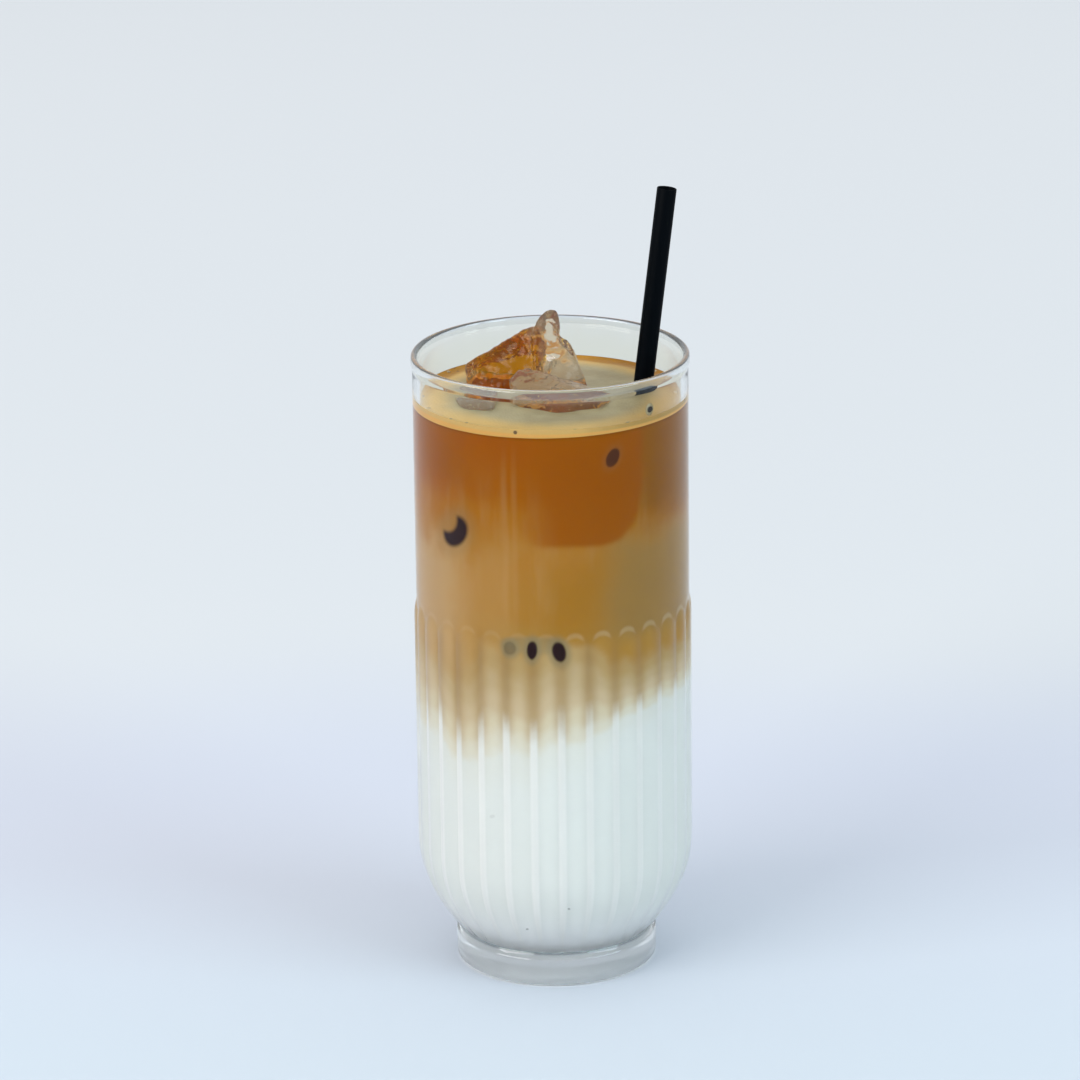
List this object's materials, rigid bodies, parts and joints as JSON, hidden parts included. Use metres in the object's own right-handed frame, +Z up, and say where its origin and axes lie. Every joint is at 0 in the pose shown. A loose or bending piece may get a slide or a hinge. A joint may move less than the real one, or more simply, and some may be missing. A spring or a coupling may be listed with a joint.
{
  "type": "iced mocha",
  "caption": "Iced layered milk and coffee drink in a tall ribbed glass on a short foot, with thin foam, ice lumps and a black straw.",
  "frame": {"origin": "middle of the ring that the foot rests on", "axes": "+Z up along the glass's axis; -Y faces the viewer of the picture and +X is the side the straw leans to"},
  "size_m": [0.0712, 0.0712, 0.2038],
  "materials": {
    "clear_glass": "clear polished",
    "milk": "opaque white liquid, faintly blue",
    "milk_coffee": "opaque liquid from beige up to brown",
    "coffee": "dark amber brown liquid",
    "foam": "fine matte bubbles",
    "ice": "wet melting ice, stained amber by the coffee",
    "black_straw": "satin black"
  },
  "bodies": {
    "root": {"glass": "clear_glass", "milk": "milk", "milk_coffee": "milk_coffee", "coffee": "coffee", "foam": "foam", "ice_peak": "ice", "ice_front": "ice", "ice_low": "ice", "straw": "black_straw"}
  },
  "joints": []
}
